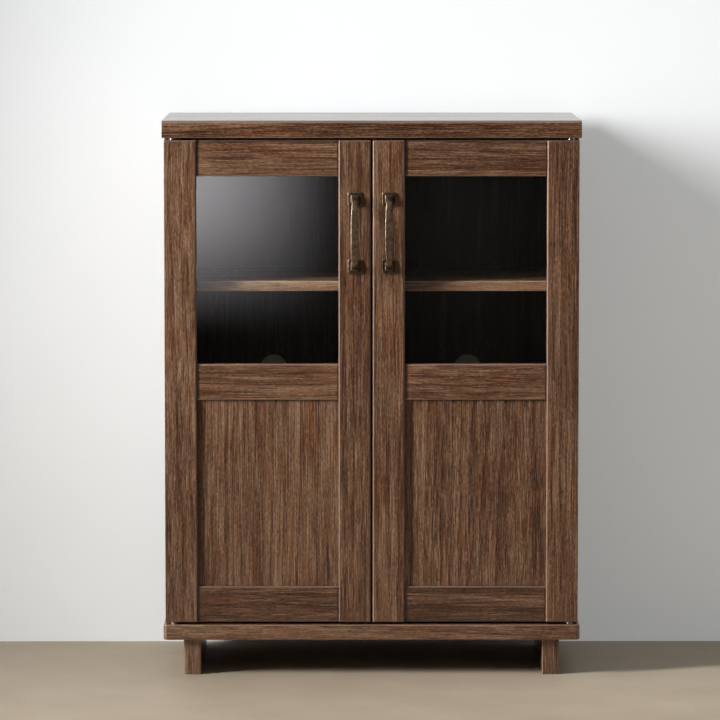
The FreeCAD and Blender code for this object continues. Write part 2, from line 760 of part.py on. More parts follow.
def door_frame(side, sign):
    """Two stiles and three rails, grooved for the panel, rebated for the glass, dowelled together."""
    ends = ("door_low", "door_high")
    planes = ("door_front", "door_back")
    hinge = Board(f"{side}_hinge_stile", across(sign, "hinge_in", "side_out"), planes, ends)
    meeting = Board(f"{side}_meeting_stile", across(sign, "door_in", "meeting_out"), planes, ends)
    inner_edges = (
        (hinge, "hinge_in", "hinge_in + groove_depth", sign),
        (meeting, "meeting_out - groove_depth", "meeting_out", -sign),
    )
    for stile, near, far, into in inner_edges:
        if stile is hinge:
            stile.round("arris", in_front_but_lip(sign))
            stile.round("heel_radius", at_heel(sign))
            stile.round("lip_radius", at_lip(sign))
        else:
            stile.round("arris", in_front)
        stile.slot(across(sign, near, far), PANEL_PLANES, PANEL_LEVELS)
        stile.slot(across(sign, near, far), REBATE_PLANES, GLASS_LEVELS)
        edge = outward(sign, "hinge_in" if stile is hinge else "meeting_out")
        for z in frame_dowels():
            stile.hole((edge, "rail_mid", z), "+x" if into > 0 else "-x", "dowel_hole", "frame_dowel")
    span = across(sign, "meeting_out", "hinge_in")
    for name, shape in RAILS.items():
        low, high = shape["levels"]
        rail = Board(f"{side}_{name}", span, ("rail_front", "door_back"), (low, high))
        rail.round("arris", in_front)
        if shape["above"]:
            rail.slot(span, shape["above"], (f"{high} - groove_depth", high))
        if shape["below"]:
            rail.slot(span, shape["below"], (low, f"{low} + groove_depth"))
        for z in rail_dowels(name):
            rail.hole((span[0], "rail_mid", z), "+x", "dowel_hole", "frame_dowel")
            rail.hole((span[1], "rail_mid", z), "-x", "dowel_hole", "frame_dowel")
    group(f"{side}_frame_dowels", [
        rod("frame_dowel", (start, "rail_mid", z), "+x", "dowel_radius", "2 * frame_dowel")
        for start in (moved(end, "frame_dowel", -1) for end in span)
        for z in frame_dowels()
    ])
    return hinge, meeting


def door_filling(side, sign):
    """The lower panel, the glass, and the four beads that keep the glass in its rebate."""
    span = across(sign, "meeting_out - tongue", "hinge_in + tongue")
    panel_levels = ("bottom_rail_top - tongue", "mid_rail_low + tongue")
    glass_levels = ("mid_rail_top - tongue", "top_rail_low + tongue")
    Board(f"{side}_panel", span, PANEL_PLANES, panel_levels)
    Board(f"{side}_glass", span, ("glass_front", "glass_back"), glass_levels)
    full = across(sign, "meeting_out - groove_depth", "hinge_in + groove_depth")
    low, high = GLASS_LEVELS
    upright_levels = (f"{low} + groove_depth", f"{high} - groove_depth")
    group(f"{side}_beads", [
        box("bead", full, BEAD_PLANES, (low, upright_levels[0])),
        box("bead", full, BEAD_PLANES, (upright_levels[1], high)),
        box("bead", (full[0], moved(full[0], "groove_depth")), BEAD_PLANES, upright_levels),
        box("bead", (moved(full[1], "groove_depth", -1), full[1]), BEAD_PLANES, upright_levels),
    ])


def bush(x, joint, into):
    """A flanged bush sunk into the end of a stile, bored for the pivot pin."""
    out = OPPOSITE[into]
    barrel = rod("bush_barrel", (x, "pivot_y", joint), into, "bush_radius", "bush_depth")
    flange = rod("bush_flange", (x, "pivot_y", joint), out, "flange_radius", "flange_thick")
    start = moved(joint, "flange_thick", -1 if out == "-z" else 1)
    bore = rod("bush_bore", (x, "pivot_y", start), into, "pin_bore", "flange_thick + bush_depth")
    return cut("bush", fuse("bush_blank", [barrel, flange]), bore)


def door_bushes(side, sign, hinge):
    """The bushes that turn on the pivot pins, and the holes they fill."""
    x = outward(sign, "pivot_x")
    for joint, into in (("door_low", "+z"), ("door_high", "-z")):
        hinge.hole((x, "pivot_y", joint), into, "bush_radius + dowel_play", "bush_depth")
    group(f"{side}_bushes", [bush(x, "door_low", "+z"), bush(x, "door_high", "-z")])


def pyramid(name, x, y, z, bevel):
    """A block whose front face is smaller all round than its rear face."""
    block = doc.addObject("Part::Wedge", name)
    wide, tall = (f"({high}) - ({low})" for low, high in (x, z))
    bind(block, Xmin=bevel, Xmax=f"{wide} - {bevel}", Zmin=bevel, Zmax=f"{tall} - {bevel}")
    bind(block, Ymin="0", Ymax=f"({y[1]}) - ({y[0]})", X2min="0", X2max=wide, Z2min="0", Z2max=tall)
    place(block, (x[0], y[0], z[0]))
    return block


def handle_base(x, z):
    """A stepped square base: a slab, its bevel, a smaller slab and its bevel."""
    wide, tall = centred(x, "base_width"), centred(z, "base_height")
    inner_wide, inner_tall = centred(x, "step_width"), centred(z, "step_height")
    bevel = "door_front - base_top"
    step = f"{bevel} - step_thick"
    return [
        box("base_slab", wide, ("door_front - base_thick", "door_front"), tall),
        pyramid("base_bevelled", wide, (bevel, "door_front - base_thick"), tall, "base_bevel"),
        box("step_slab", inner_wide, (step, bevel), inner_tall),
        pyramid("step_bevelled", inner_wide, ("door_front - step_top", step), inner_tall, "step_bevel"),
    ]


def handle_bow(x):
    """An arched strap on two posts, widest at its middle.

    The strap is the ring between two cylinders that lie across the handle, turned down at its ends
    over round shoulders. Two more cylinders, that point out of the door, give its swelling sides.
    """
    crest = "door_front - handle_reach"
    foot = "door_front - step_top"
    wide = centred(x, "bow_width")
    arch_at = (wide[0], f"{crest} + arch_radius", "handle_z")
    outer = rod("bow_outer", arch_at, "+x", "arch_radius", "bow_width")
    inner = rod("bow_inner", arch_at, "+x", "arch_radius - bow_thick", "bow_width")
    crown = box("bow_crown", wide, (crest, foot), centred("handle_z", "2 * bow_end"))
    legs = box("bow_legs", wide, ("shoulder_level", foot), centred("handle_z", "2 * handle_end"))
    shoulders = [
        rod("bow_shoulder", (wide[0], "shoulder_level", end), "+x", "shoulder_radius", "bow_width")
        for end in centred("handle_z", "2 * bow_end")
    ]
    blank = fuse("bow_blank", [common("bow_arch", [outer, crown]), legs] + shoulders)
    window = box("bow_window", wide, (crest, foot), centred("handle_z", "handle_pitch - post_thick"))
    strap = cut("bow_strap", blank, common("bow_hollow", [inner, window]))
    sides = [
        rod(
            "bow_side",
            (f"{x} {turn} (bow_width / 2 - swell_radius)", crest, "handle_z"),
            "+y",
            "swell_radius",
            "handle_reach",
        )
        for turn in "+-"
    ]
    return common("handle_bow", [strap] + sides)


def door_handle(side, sign, meeting):
    """A cast handle screwed on through the meeting stile."""
    x = outward(sign, "handle_x")
    levels = ("handle_z - handle_half", "handle_z + handle_half")
    bases = [piece for z in levels for piece in handle_base(x, z)]
    blank = fuse("handle_blank", bases + [handle_bow(x)])
    screw_hole = "handle_screw_radius + dowel_play"
    screws = []
    for z in levels:
        bore = rod("handle_bore", (x, "door_front", z), "-y", screw_hole, "handle_screw_depth + edge_play")
        blank = cut("handle_bored", blank, bore)
        meeting.hole((x, "door_front", z), "+y", screw_hole, "stile_thick")
        shank_length = "stile_thick + handle_screw_depth"
        screws.append(fuse("handle_screw", [
            rod("handle_pan", (x, "door_back", z), "+y", "pan_radius", "pan_thick"),
            rod("handle_shank", (x, "door_back", z), "-y", "handle_screw_radius", shank_length),
        ]))
    keep(f"{side}_handle", blank)
    group(f"{side}_handle_screws", screws)


def door_strike(side, sign, meeting):
    """The steel plate that the magnet catch holds, on the back of the meeting stile."""
    x = outward(sign, "catch_mid")
    planes = ("door_back", "strike_back")
    levels = centred("strike_z", "strike_height")
    plate = Board(f"{side}_strike", centred(x, "strike_width"), planes, levels)
    sink = (x, "strike_back", "strike_z")
    root = (x, "door_back", "strike_z")
    taper = ("strike_sink_radius", "catch_screw_radius", "strike_thick")
    plate.countersink(sink, "-y", *taper)
    pilot = "catch_screw_radius + dowel_play"
    meeting.hole(root, "-y", pilot, "strike_screw_depth")
    head = cone("strike_head", sink, "-y", *taper)
    shank = rod("strike_shank", root, "-y", "catch_screw_radius", "strike_screw_depth")
    keep(f"{side}_strike_screw", fuse("strike_screw", [head, shank]))


for side, sign in SIDES.items():
    hinge, meeting = door_frame(side, sign)
    door_filling(side, sign)
    door_bushes(side, sign, hinge)
    door_handle(side, sign, meeting)
    door_strike(side, sign, meeting)

doc.recompute()
for thing in doc.Objects:
    if "Invalid" in thing.State or "Error" in thing.State:
        raise RuntimeError(f"{thing.Label} did not compute: {thing.State}")

os.makedirs("parts", exist_ok=True)
for node in nodes:
    shape = node.Shape
    if shape.isNull() or not shape.isValid():
        raise RuntimeError(f"{node.Label} has no valid shape")
    shape.exportStep(f"parts/{node.Label}.step")
    print(f"{node.Label}: {len(shape.Solids)} solids, {shape.Volume:.0f} mm3")
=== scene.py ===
# %% [markdown]
# # A glass-front cabinet
# A small walnut cabinet with two framed doors, glass above and a wood panel below, on two plank feet.
# Its construction is packed as a frame of boards, hinges and fittings that are already in place, in
# metres. This lesson gives every surface its finish, casts the two handles in finer detail, and sets up
# the floor, the light and the camera.

import math

import bpy
import numpy as np
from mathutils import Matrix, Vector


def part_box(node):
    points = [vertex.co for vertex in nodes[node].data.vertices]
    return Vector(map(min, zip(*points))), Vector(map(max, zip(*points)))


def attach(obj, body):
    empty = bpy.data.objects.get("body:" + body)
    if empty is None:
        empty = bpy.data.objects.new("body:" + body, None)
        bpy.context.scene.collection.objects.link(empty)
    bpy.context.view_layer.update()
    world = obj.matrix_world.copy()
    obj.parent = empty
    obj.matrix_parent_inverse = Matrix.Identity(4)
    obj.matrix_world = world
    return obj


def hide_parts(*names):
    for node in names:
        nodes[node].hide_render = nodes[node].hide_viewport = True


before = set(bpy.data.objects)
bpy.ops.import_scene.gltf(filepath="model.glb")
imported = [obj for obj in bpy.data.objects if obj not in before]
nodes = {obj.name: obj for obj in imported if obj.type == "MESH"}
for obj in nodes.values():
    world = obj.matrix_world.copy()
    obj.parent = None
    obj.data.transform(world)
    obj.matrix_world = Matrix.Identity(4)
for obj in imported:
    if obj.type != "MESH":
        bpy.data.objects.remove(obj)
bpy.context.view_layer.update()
MM = 0.001
SIDES = ("left", "right")

# %% [markdown]
# ## Two helpers for every finish
# A colour is easiest to note as the hex value that a paint program shows, but a shader computes in
# linear light, so one function converts. Another adds one node to a material: its options, its inputs,
# and a link wherever an input is given another node's output. With these two, each finish below reads
# as a short recipe.

# %% Colour and node helpers
def linear(hex_colour):
    """sRGB hex to linear RGBA: each channel is divided by 12.92 near black, else a power of 2.4."""
    srgb = np.array([int(hex_colour[i:i + 2], 16) for i in (1, 3, 5)]) / 255
    rgb = np.where(srgb <= 0.04045, srgb / 12.92, ((srgb + 0.055) / 1.055) ** 2.4)
    return (*rgb.tolist(), 1.0)


def add(tree, kind, inputs=None, stops=None, **options):
    """Adds one node. An input given an output of another node is linked to it, any other is set."""
    node = tree.nodes.new("ShaderNode" + kind)
    for option, value in options.items():
        setattr(node, option, value)
    for socket, value in (inputs or {}).items():
        if isinstance(value, bpy.types.NodeSocket):
            tree.links.new(value, node.inputs[socket])
        else:
            node.inputs[socket].default_value = value
    for i, (position, colour) in enumerate(stops or []):
        ramp = node.color_ramp.elements
        stop = ramp[i] if i < 2 else ramp.new(position)
        stop.position = position
        stop.color = linear(colour)
    return node


def start_material(name):
    """An empty material and its node tree."""
    material = bpy.data.materials.new(name)
    material.use_nodes = True
    material.node_tree.nodes.clear()
    return material, material.node_tree


dressed = set()


def dress(node_names, material):
    """Gives frame pieces one material in place of the one they came with."""
    dressed.update(node_names)
    for name in node_names:
        slots = nodes[name].data.materials
        slots.clear()
        slots.append(material)


print("mid grey is", [round(c, 3) for c in linear("#808080")[:3]])

# %% [markdown]
# ## Walnut veneer, satin lacquered
# Every board is faced with walnut. Wood is a solid pattern: a log has growth rings round its heart, and
# a board shows the curves in which its faces cut them. So the finish is a log, too. A Mapping node puts
# each board at its own place in the log, and leans it a little, which gives long lines on the narrow
# stiles and slow curves on the wide panels. On that one space lie the growth rings and four uneven tones,
# all stretched along the grain: slow clouds, bands, long streaks, and the short flecks and pores that make
# walnut look brushed.

# %% Walnut: sizes and colours
RING_WIDTH = 9.5 * MM
RING_SHARE, RING_EDGE = 0.26, 2.5
RING_WAVER = {"Distortion": 6.0, "Detail": 2.0, "Detail Scale": 0.8, "Detail Roughness": 0.6}
# Width and length of one patch, number of finer octaves on it, and its share in the darkness. Real pores
# are about a quarter as wide as these flecks, which are drawn coarser so that they show at this distance.
FIGURE = {
    "clouds": ((30 * MM, 220 * MM), 1.0, 0.50),
    "bands": ((9 * MM, 500 * MM), 1.0, 0.45),
    "streaks": ((0.75 * MM, 180 * MM), 1.0, 2.00),
    "flecks": ((0.6 * MM, 6 * MM), 1.0, 1.60),
}
FINER_SHARE = 0.6
REDDER = (16 * MM, 110 * MM)
RED_FROM, RED_TO, RED_SHARE = 0.45, 0.7, 0.8
# A Wave texture of scale 1 repeats after this length.
WAVE_PERIOD = 2 * math.pi / 20
GRAIN_STRETCH = 0.05
# What the figure adds to the darkness on average: a half of every share, and about a quarter of the rings'.
MIDDLE = sum(share for _, _, share in FIGURE.values()) / 2 + RING_SHARE / 4
WALNUT_STOPS = [(0.0, "#947761"), (0.35, "#74553f"), (0.62, "#583c2b"), (1.0, "#321f15")]
RED_SHADE = "#f9e4da"
# The rounded edges are painted paler: partly the paler ground where the lacquer is thin, partly a painted
# highlight for the bright arrises. An edge is where the surface faces none of the board's own six
# directions: the largest part of its normal is well below one.
RUBBED_AND_HIGHLIGHT = "#a88f7d"
EDGE_FROM, EDGE_TO, EDGE_SHARE = 0.99, 0.88, 0.3
# Pale grain is a little smoother than the lacquer on average, dark open grain rougher, and it lies lower.
GLOSS_SMOOTHER, GLOSS_ROUGHER = 0.06, 0.10
PORE_RELIEF, PORE_DEPTH = 0.12, 0.1 * MM
LACQUER_IOR = 1.5


def per_patch(width, length=None):
    """How often a patch of one width across the grain and one length along it fits into a metre."""
    return (1 / width, 1 / width, 1 / (length or width))


def walnut(name, heart, turn, tone, lacquer):
    """Rings and uneven tones round one log whose heart passes through a point, turned that way. Each tone
    adds its share to the darkness, and a ring adds a power of its own saw tooth: a thin dark late wood."""
    material, tree = start_material(name)
    place = add(tree, "TexCoord")
    log = add(tree, "Mapping", {"Vector": place.outputs["Object"], "Location": heart, "Rotation": turn},
              vector_type="TEXTURE").outputs["Vector"]
    slow = add(tree, "VectorMath", {0: log, 1: (1, 1, GRAIN_STRETCH)}, operation="MULTIPLY")
    rings = add(tree, "TexWave", {"Vector": slow.outputs["Vector"], "Scale": WAVE_PERIOD / RING_WIDTH,
                                  **RING_WAVER},
                wave_type="RINGS", rings_direction="Z", wave_profile="SAW")
    late = add(tree, "Math", {0: rings.outputs["Fac"], 1: RING_EDGE}, operation="POWER")
    darkness = add(tree, "Math", {0: late.outputs["Value"], 1: RING_SHARE, 2: 0.5 + tone - MIDDLE},
                   operation="MULTIPLY_ADD")
    for size, octaves, share in FIGURE.values():
        patches = add(tree, "VectorMath", {0: log, 1: per_patch(*size)}, operation="MULTIPLY")
        uneven = add(tree, "TexNoise", {"Vector": patches.outputs["Vector"], "Scale": 1.0, "Detail": octaves,
                                        "Roughness": FINER_SHARE})
        darkness = add(tree, "Math", {0: uneven.outputs["Fac"], 1: share, 2: darkness.outputs["Value"]},
                       operation="MULTIPLY_ADD")
    colour = add(tree, "ValToRGB", {"Fac": darkness.outputs["Value"]}, stops=WALNUT_STOPS)
    warm = add(tree, "VectorMath", {0: log, 1: per_patch(*REDDER)}, operation="MULTIPLY")
    blush = add(tree, "TexNoise", {"Vector": warm.outputs["Vector"], "Scale": 1.0, "Detail": 2.0})
    redness = add(tree, "MapRange", {"Value": blush.outputs["Fac"], "From Min": RED_FROM, "From Max": RED_TO,
                                     "To Max": RED_SHARE}, interpolation_type="SMOOTHSTEP")
    shaded = add(tree, "Mix", {0: redness.outputs["Result"], 6: colour.outputs["Color"],
                               7: linear(RED_SHADE)}, data_type="RGBA", blend_type="MULTIPLY")
    facing = add(tree, "VectorMath", {0: place.outputs["Normal"]}, operation="ABSOLUTE")
    parts = add(tree, "SeparateXYZ", {"Vector": facing.outputs["Vector"]})
    wider = add(tree, "Math", {0: parts.outputs["X"], 1: parts.outputs["Y"]}, operation="MAXIMUM")
    widest = add(tree, "Math", {0: wider.outputs["Value"], 1: parts.outputs["Z"]}, operation="MAXIMUM")
    # The rounded edges take a paler colour: thin lacquer and a painted highlight.
    edge_wear_and_highlight = add(tree, "MapRange", {"Value": widest.outputs["Value"], "From Min": EDGE_FROM,
                                   "From Max": EDGE_TO, "To Max": EDGE_SHARE})
    worn_and_highlit = add(tree, "Mix", {0: edge_wear_and_highlight.outputs["Result"], 6: shaded.outputs[2], 7: linear(RUBBED_AND_HIGHLIGHT)},
               data_type="RGBA")
    gloss = add(tree, "MapRange", {"Value": darkness.outputs["Value"], "To Min": lacquer - GLOSS_SMOOTHER,
                                   "To Max": lacquer + GLOSS_ROUGHER})
    relief = add(tree, "Bump", {"Height": darkness.outputs["Value"], "Strength": PORE_RELIEF,
                                "Distance": PORE_DEPTH}, invert=True)
    shader = add(tree, "BsdfPrincipled", {"Base Color": worn_and_highlit.outputs[2], "Roughness": gloss.outputs["Result"],
                                          "Normal": relief.outputs["Normal"], "IOR": LACQUER_IOR})
    add(tree, "OutputMaterial", {"Surface": shader.outputs["BSDF"]})
    return material


print(f"rings {RING_WIDTH / MM:.1f} mm wide, flecks {FIGURE['flecks'][0][1] / MM:.1f} mm long")

# %% [markdown]
# ## How each board was cut
# A joiner runs the grain along the length of every piece: upright in stiles, panels, sides and feet, from
# side to side in rails, shelves and the two thick boards. For each piece the heart of its log lies some
# way behind its face. A heart close behind gives arches, one far off to the side gives straight lines. A
# fixed seed draws these places, so that no two boards match and every run gives the same ones.

# %% Cut the boards from their logs
QUARTER = math.pi / 2
draw = np.random.default_rng(11)
DOOR_FRAME = ("hinge_stile", "meeting_stile", "top_rail", "mid_rail", "bottom_rail")
UPRIGHT_PARTS = ("hinge_stile", "meeting_stile", "panel", "side_panel", "partition", "foot", "back_panel")
WIDE_PARTS = ("panel", "top_board", "bottom_board", "shelf")
# How much darker a kind of board is than middling walnut. The first kind that its name ends with counts.
# The back panel's much darker tone is painted shade inside the cabinet.
TONES = {"back_panel": 0.6, "shelf": -0.24, "top_board": 0.15, "bottom_board": -0.08, "left_foot": -0.16,
         "right_foot": 0.09, "top_rail": 0.02, "left_mid_rail": 0.02, "mid_rail": 0.04, "bottom_rail": 0.19,
         "left_panel": -0.03, "right_panel": 0.03, "left_meeting_stile": 0.1, "right_hinge_stile": 0.06}
# The top is wiped more often than the rest, and shines more.
LACQUERS = {"top_board": 0.14}
SATIN = 0.26
# How far behind a board and to the side of it the heart may lie in metres, how much the log may lean in
# degrees, and how far along it the board may start.
WIDE_HEART, NARROW_HEART = ((0.08, 0.12), (0.05, 0.10)), ((0.07, 0.15), (0.06, 0.14))
LEAN, ALONG = (0.5, 1.2), (-1.0, 1.0)
EITHER_SIDE = (-1, 1)
boards = [name for name in sorted(nodes) if name.endswith(UPRIGHT_PARTS + WIDE_PARTS + DOOR_FRAME)]


def cut_from_log(name):
    """Heart and turn of the log for one board: the heart is offset from the board's own middle."""
    low, high = (np.array(corner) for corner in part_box(name))
    middle = (low + high) / 2
    upright = name.endswith(UPRIGHT_PARTS)
    depths, offsets = WIDE_HEART if name.endswith(WIDE_PARTS) else NARROW_HEART
    behind, aside = draw.uniform(*depths), draw.uniform(*offsets) * draw.choice(EITHER_SIDE)
    lean = math.radians(draw.uniform(*LEAN)) * draw.choice(EITHER_SIDE)
    along = draw.uniform(*ALONG)
    if upright:
        return middle + (aside, behind, along), (lean, 0.0, 0.0)
    return middle + (along, behind, aside), (0.0, QUARTER, lean)


def of_kind(table, name, usual):
    """The value of the first kind of piece in a table that a name ends with."""
    return next((value for kind, value in table.items() if name.endswith(kind)), usual)


for name in boards:
    heart, turn = cut_from_log(name)
    tone, lacquer = of_kind(TONES, name, 0.0), of_kind(LACQUERS, name, SATIN)
    dress([name], walnut(f"walnut_veneer_satin.{name}", heart.tolist(), turn, tone, lacquer))
print(f"{len(boards)} boards cut, each from its own log")

# %% [markdown]
# ## Float glass
# The panes are clear float glass, 3 mm thick. Two things show: a mirror image of the room on its face,
# and whatever stands behind it. A Principled shader with full transmission does both from the index of
# refraction of glass. Light from the lamps would be stopped by it, so rays that look for a lamp pass
# through as if the pane were clear. Faint wipe marks tint the glass a little.

# %% Glass for the doors
WIPE = (18 * MM, 90 * MM)
WIPE_STOPS = [(0.4, "#fbfdfc"), (0.75, "#eff4f1")]
GLASS_SHADE = "#f2f6f4"
GLASS_IOR = 1.52


def float_glass(name):
    """Clear polished glass that lets lamps through, with slow streaks of a slightly duller tint."""
    material, tree = start_material(name)
    place = add(tree, "TexCoord").outputs["Object"]
    patches = add(tree, "VectorMath", {0: place, 1: per_patch(*WIPE)}, operation="MULTIPLY")
    wipes = add(tree, "TexNoise", {"Vector": patches.outputs["Vector"], "Scale": 1.0, "Detail": 3.0})
    tint = add(tree, "ValToRGB", {"Fac": wipes.outputs["Fac"]}, stops=WIPE_STOPS)
    body = add(tree, "BsdfPrincipled", {"Base Color": tint.outputs["Color"], "Transmission Weight": 1.0,
                                        "IOR": GLASS_IOR, "Roughness": 0.0})
    clear = add(tree, "BsdfTransparent", {"Color": linear(GLASS_SHADE)})
    ray = add(tree, "LightPath")
    mixed = add(tree, "MixShader", {0: ray.outputs["Is Shadow Ray"], 1: body.outputs["BSDF"],
                                    2: clear.outputs["BSDF"]})
    add(tree, "OutputMaterial", {"Surface": mixed.outputs["Shader"]})
    return material


dress([f"{side}_glass" for side in SIDES], float_glass("float_glass_wiped"))
print("two panes glazed")

# %% [markdown]
# ## Metals and small fittings
# The fittings are few and small, but the doors open, so many of them can be seen. Bushes are turned brass,
# nickel plated. Pins, screws and strikes are zinc-plated steel, cam locks are die-cast zinc. Each metal is
# one recipe: two colours mixed by a fine noise, and a roughness that follows it. Plastic, ferrite and beech
# take the same recipe with no metal in it.

# %% One recipe for the fittings
MIX_FROM, MIX_TO = 0.35, 0.68
GLOSS_SPREAD, GRIT_STRENGTH = 0.1, 0.3


def fitting(name, colours, grit, metallic, roughness, relief=0.05 * MM, ior=None):
    """Two colours mixed by uneven tone of one grit size, which also dulls and roughens the surface."""
    material, tree = start_material(name)
    place = add(tree, "TexCoord").outputs["Object"]
    patches = add(tree, "VectorMath", {0: place, 1: per_patch(*grit)}, operation="MULTIPLY")
    uneven = add(tree, "TexNoise", {"Vector": patches.outputs["Vector"], "Scale": 1.0, "Detail": 4.0})
    grains = uneven.outputs["Fac"]
    colour = add(tree, "ValToRGB", {"Fac": grains}, stops=[(MIX_FROM, colours[0]), (MIX_TO, colours[1])])
    gloss = add(tree, "MapRange", {"Value": grains, "To Min": roughness - GLOSS_SPREAD,
                                   "To Max": roughness + GLOSS_SPREAD})
    bumps = add(tree, "Bump", {"Height": grains, "Strength": GRIT_STRENGTH, "Distance": relief})
    surface = {"Base Color": colour.outputs["Color"], "Roughness": gloss.outputs["Result"],
               "Normal": bumps.outputs["Normal"], "Metallic": metallic}
    if ior:
        surface["IOR"] = ior
    shader = add(tree, "BsdfPrincipled", surface)
    add(tree, "OutputMaterial", {"Surface": shader.outputs["BSDF"]})
    return material


def ending(*words):
    """Names of the frame pieces that end with one of these words."""
    return [name for name in sorted(nodes) if name.endswith(words)]


# Grit of a plated or moulded surface, marks of a lathe, and flutes, all drawn coarser so that they show.
FINE = (0.6 * MM,)
TURNED = (2 * MM, 0.25 * MM)
FLUTED = (1 * MM, 8 * MM)
BEAD_HEART, STRAIGHT = (0.05, 0.1, 0.6), (0.0, 0.0, 0.0)
dress(ending("bushes"), fitting("brass_turned_nickel_plated", ("#8d8a84", "#bdbab4"), TURNED, 1.0, 0.34))
dress(ending("pivot_pins", "screws", "screw", "cam_bolts", "strike", "shelf_pins"),
      fitting("steel_zinc_plated", ("#9a9c9d", "#c9cbcc"), FINE, 1.0, 0.34))
dress(["cam_locks"], fitting("zinc_die_cast", ("#8b8d8f", "#b2b4b6"), FINE, 1.0, 0.46))
dress(ending("catch"), fitting("plastic_brown_moulded", ("#3a2a21", "#46342a"), FINE, 0.0, 0.45, ior=1.49))
dress(ending("magnet"), fitting("ferrite_ground", ("#2b2a2b", "#3d3c3d"), FINE, 0.0, 0.55, ior=2.0))
dress(ending("dowels"), fitting("beech_fluted", ("#c39d73", "#d9b78f"), FLUTED, 0.0, 0.6,
                                relief=0.1 * MM, ior=1.5))
dress(ending("beads"), walnut("walnut_bead_satin", BEAD_HEART, STRAIGHT, 0.0, SATIN))
print("still bare:", sorted(set(nodes) - dressed))

# %% [markdown]
# ## The handles: antiqued brass castings
# Each handle is a bow on two stepped square bases, cast in brass, blackened, and rubbed so that its edges
# shine; the bright edges are partly this wear and partly a painted highlight. A lathe or a bevelled box
# would give hard, even shapes. A casting is softer: its bow is thin at the shoulders, swells in the middle
# and grows out of its bases. So the bow is a rounded section carried along a curved path, with a width and
# a thickness that are formulas of the place along it, and a base is a stack of rounded squares.

# %% Curves shared by the bow and the bases
AROUND = 32


def superellipse(angle, power):
    """Unit superellipse: cosine and sine, each to the power 2/power with its sign kept. 2 is a circle."""
    c, s = np.cos(angle), np.sin(angle)
    return np.sign(c) * np.abs(c) ** (2 / power), np.sign(s) * np.abs(s) ** (2 / power)


def tube_faces(stations, around):
    """Quads between neighbouring rings of points, and a flat cap on the first and on the last ring."""
    start = np.arange(stations - 1)[:, None] * around
    here, beside = np.arange(around), np.roll(np.arange(around), -1)
    quads = np.stack([start + here, start + beside, start + beside + around, start + here + around], -1)
    caps = [np.arange(around)[::-1], (stations - 1) * around + np.arange(around)]
    return quads.reshape(-1, 4).tolist() + [cap.tolist() for cap in caps]


turns = np.linspace(0, 2 * math.pi, AROUND, endpoint=False)
print(f"{AROUND} points round each section")

# %% The bow
STATIONS = 97
PITCH = 96 * MM
BOW_HALF = 48 * MM
BOW_REACH = 21.0 * MM
BOW_RISE = 2.75 * MM
BOW_WIDTH, WAIST, ROOT_WIDTH = 11.2 * MM, 7.2 * MM, 8 * MM
BOW_THICK, ROOT_THICK = 4.5 * MM, 7 * MM
ARCH_POWER, SECTION_POWER, THICK_FLARE = 5.0, 6.0, 1.3
# Hands polish the bow from this share of its reach, fully this much further out, and least at its foot.
HANDLED_FROM, HANDLED_OVER, HANDLED_LEAST = 0.6, 0.3, 0.15
# Wear all round a section, more of it on the four edges, where it is also a painted highlight, and how
# closely it keeps to them.
RUB_ROUND, RUB_AND_HIGHLIGHT_EDGES, RUB_FOCUS = 0.25, 0.4, 9


def bow(x, face, z):
    """A rounded section along a squared arch. The arch is a superellipse of power 5 with a shallow
    parabola on its crest. Width falls with the square of the height from the middle. Towards the foot of
    each post the width flares with the square of the depth still to go, the thickness with its power 1.3."""
    sweep = np.linspace(0, math.pi, STATIONS)
    up, out = superellipse(sweep, ARCH_POWER)
    path_z = BOW_HALF * up
    path_y = BOW_REACH * out + BOW_RISE * (1 - up ** 2)
    heading = np.stack([np.gradient(path_y), np.gradient(path_z)])
    heading /= np.linalg.norm(heading, axis=0)
    to_go = np.clip(1 - out, 0, 1)
    width = WAIST + (BOW_WIDTH - WAIST) * (1 - up ** 2) + (ROOT_WIDTH - WAIST) * to_go ** 2
    thick = BOW_THICK + (ROOT_THICK - BOW_THICK) * to_go ** THICK_FLARE
    across, through = superellipse(turns, SECTION_POWER)
    push = thick[:, None] / 2 * through
    points = np.empty((STATIONS, AROUND, 3))
    points[..., 0] = x + width[:, None] / 2 * across
    points[..., 1] = face - (path_y[:, None] - heading[1][:, None] * push)
    points[..., 2] = z + path_z[:, None] + heading[0][:, None] * push
    handled = np.clip((out - HANDLED_FROM) / HANDLED_OVER, HANDLED_LEAST, 1)
    # Wear on the crest and all round, more on the edges, where it is also a painted highlight.
    wear_and_highlight = handled[:, None] * (RUB_ROUND + RUB_AND_HIGHLIGHT_EDGES * np.abs(np.sin(2 * turns)) ** RUB_FOCUS)
    return points, wear_and_highlight


print(f"bow stands {(BOW_REACH + BOW_RISE + BOW_THICK / 2) / MM:.1f} mm off the door")

# %% The stepped bases
BASE_HALF = (10 * MM, 10.5 * MM)
CORNER_POWER = 9.0
# Each step of the base: inset from the outer edge, height above the door, and how rubbed its edge is, the
# rubbing also a painted highlight.
BASE_STEPS = np.array([(0, 0, 0.0), (0, 1.7, 0.2), (0.2, 2.3, 0.6), (0.6, 2.8, 0.3), (1.1, 3.0, 0.0),
                       (4.4, 3.0, 0.0), (4.5, 3.1, 0.0), (4.6, 5.0, 0.2), (4.8, 5.5, 0.6), (5.1, 5.8, 0.3),
                       (5.6, 6.0, 0.0)])


def base(x, face, z):
    """A stack of rounded squares, superellipses of power 9, each inset a little more and set further out."""
    inset, height, rubbed_and_highlit = (BASE_STEPS * (MM, MM, 1)).T[..., None]
    across, along = superellipse(turns, CORNER_POWER)
    points = np.empty((len(BASE_STEPS), AROUND, 3))
    points[..., 0] = x + (BASE_HALF[0] - inset) * across
    points[..., 1] = face - height
    points[..., 2] = z + (BASE_HALF[1] - inset) * along
    return points, rubbed_and_highlit * np.ones(AROUND)


print(f"base of {len(BASE_STEPS)} rings, {BASE_STEPS[-1, 1]:.0f} mm high")

